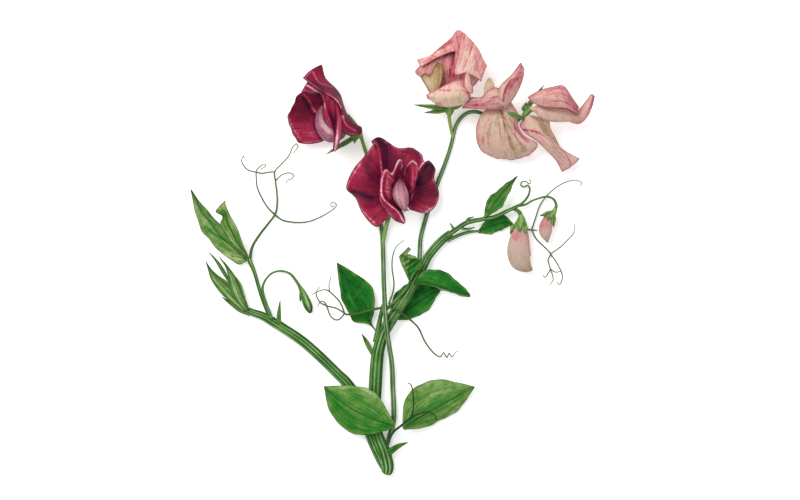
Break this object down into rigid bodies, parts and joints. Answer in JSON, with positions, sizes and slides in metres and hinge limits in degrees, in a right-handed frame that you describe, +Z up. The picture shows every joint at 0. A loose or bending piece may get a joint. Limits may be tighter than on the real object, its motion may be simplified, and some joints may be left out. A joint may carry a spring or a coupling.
{
  "type": "sweet pea flower spray",
  "caption": "Cut spray of sweet pea lying flat: dark and pale blooms on long stalks, with buds, leaflets, stipules and curling tendrils.",
  "frame": {"origin": "centre of the spray's footprint, on the surface it lies on", "axes": "+Y from the cut end towards the topmost bloom, +Z up from the surface, +X across the spray towards the pale blooms"},
  "size_m": [0.1828, 0.1989, 0.0228],
  "materials": {
    "stem": "matt, faintly waxy green stem",
    "flower_stalk": "matt grey-green flower stalk",
    "leaflet": "matt green leaf with fine veins",
    "tendril": "matt olive tendril",
    "green_bud": "matt green bud and bract",
    "calyx": "matt pale green calyx and flower stalk",
    "bud_petal": "matt cream petal flushed with pink",
    "dark_petal": "velvety maroon petal with a pale pink rim",
    "dark_keel": "matt mauve-pink petal",
    "pale_petal": "matt rose and cream petal with fine veins",
    "pale_keel": "matt cream and tan petal"
  },
  "bodies": {
    "root": {"main_stem": "stem", "left_branch": "stem", "left_side_shoot": "stem", "right_shoot": "stem", "front_flower_stalk": "flower_stalk", "back_flower_stalk": "flower_stalk", "leaflet_base_left": "leaflet", "leaflet_base_right": "leaflet", "leaflet_left": "leaflet", "leaflet_behind_stem": "leaflet", "leaflet_folded": "leaflet", "leaflet_far_left": "leaflet", "leaflet_curled": "leaflet", "leaflet_turned": "leaflet", "leaflet_shoot_upper": "leaflet", "leaflet_shoot_lower": "leaflet", "stipule_left_branch": "leaflet", "stipule_main_stem": "leaflet", "stipule_base": "leaflet", "tendril_far_left": "tendril", "tendril_middle_left": "tendril", "tendril_middle_right": "tendril", "tendril_upright": "tendril", "tendril_shoot": "tendril", "tendril_base": "tendril", "big_bud_petals": "bud_petal", "small_bud_petals": "bud_petal", "tip_bud_upper": "green_bud", "tip_bud_middle": "green_bud", "tip_bud_lower": "green_bud", "tip_bract": "green_bud", "nodding_bud": "green_bud", "left_bloom_calyx": "calyx", "front_bloom_calyx": "calyx", "top_bloom_calyx": "calyx", "middle_bloom_calyx": "calyx", "right_bloom_calyx": "calyx", "big_bud_calyx": "calyx", "small_bud_calyx": "calyx", "left_bloom_standard": "dark_petal", "left_bloom_wing_far": "dark_petal", "left_bloom_wing_near": "dark_petal", "left_bloom_keel": "dark_keel", "front_bloom_standard": "dark_petal", "front_bloom_wing_left": "dark_petal", "front_bloom_wing_right": "dark_petal", "front_bloom_keel": "dark_keel", "top_bloom_standard": "pale_petal", "top_bloom_wing_near": "pale_petal", "top_bloom_wing_far": "pale_petal", "top_bloom_keel": "pale_keel", "middle_bloom_standard": "pale_petal", "middle_bloom_wing_left": "pale_petal", "middle_bloom_wing_right": "pale_petal", "middle_bloom_keel": "pale_keel", "right_bloom_standard": "pale_petal", "right_bloom_wing_near": "pale_petal", "right_bloom_wing_far": "pale_petal", "right_bloom_keel": "pale_keel"}
  },
  "joints": []
}
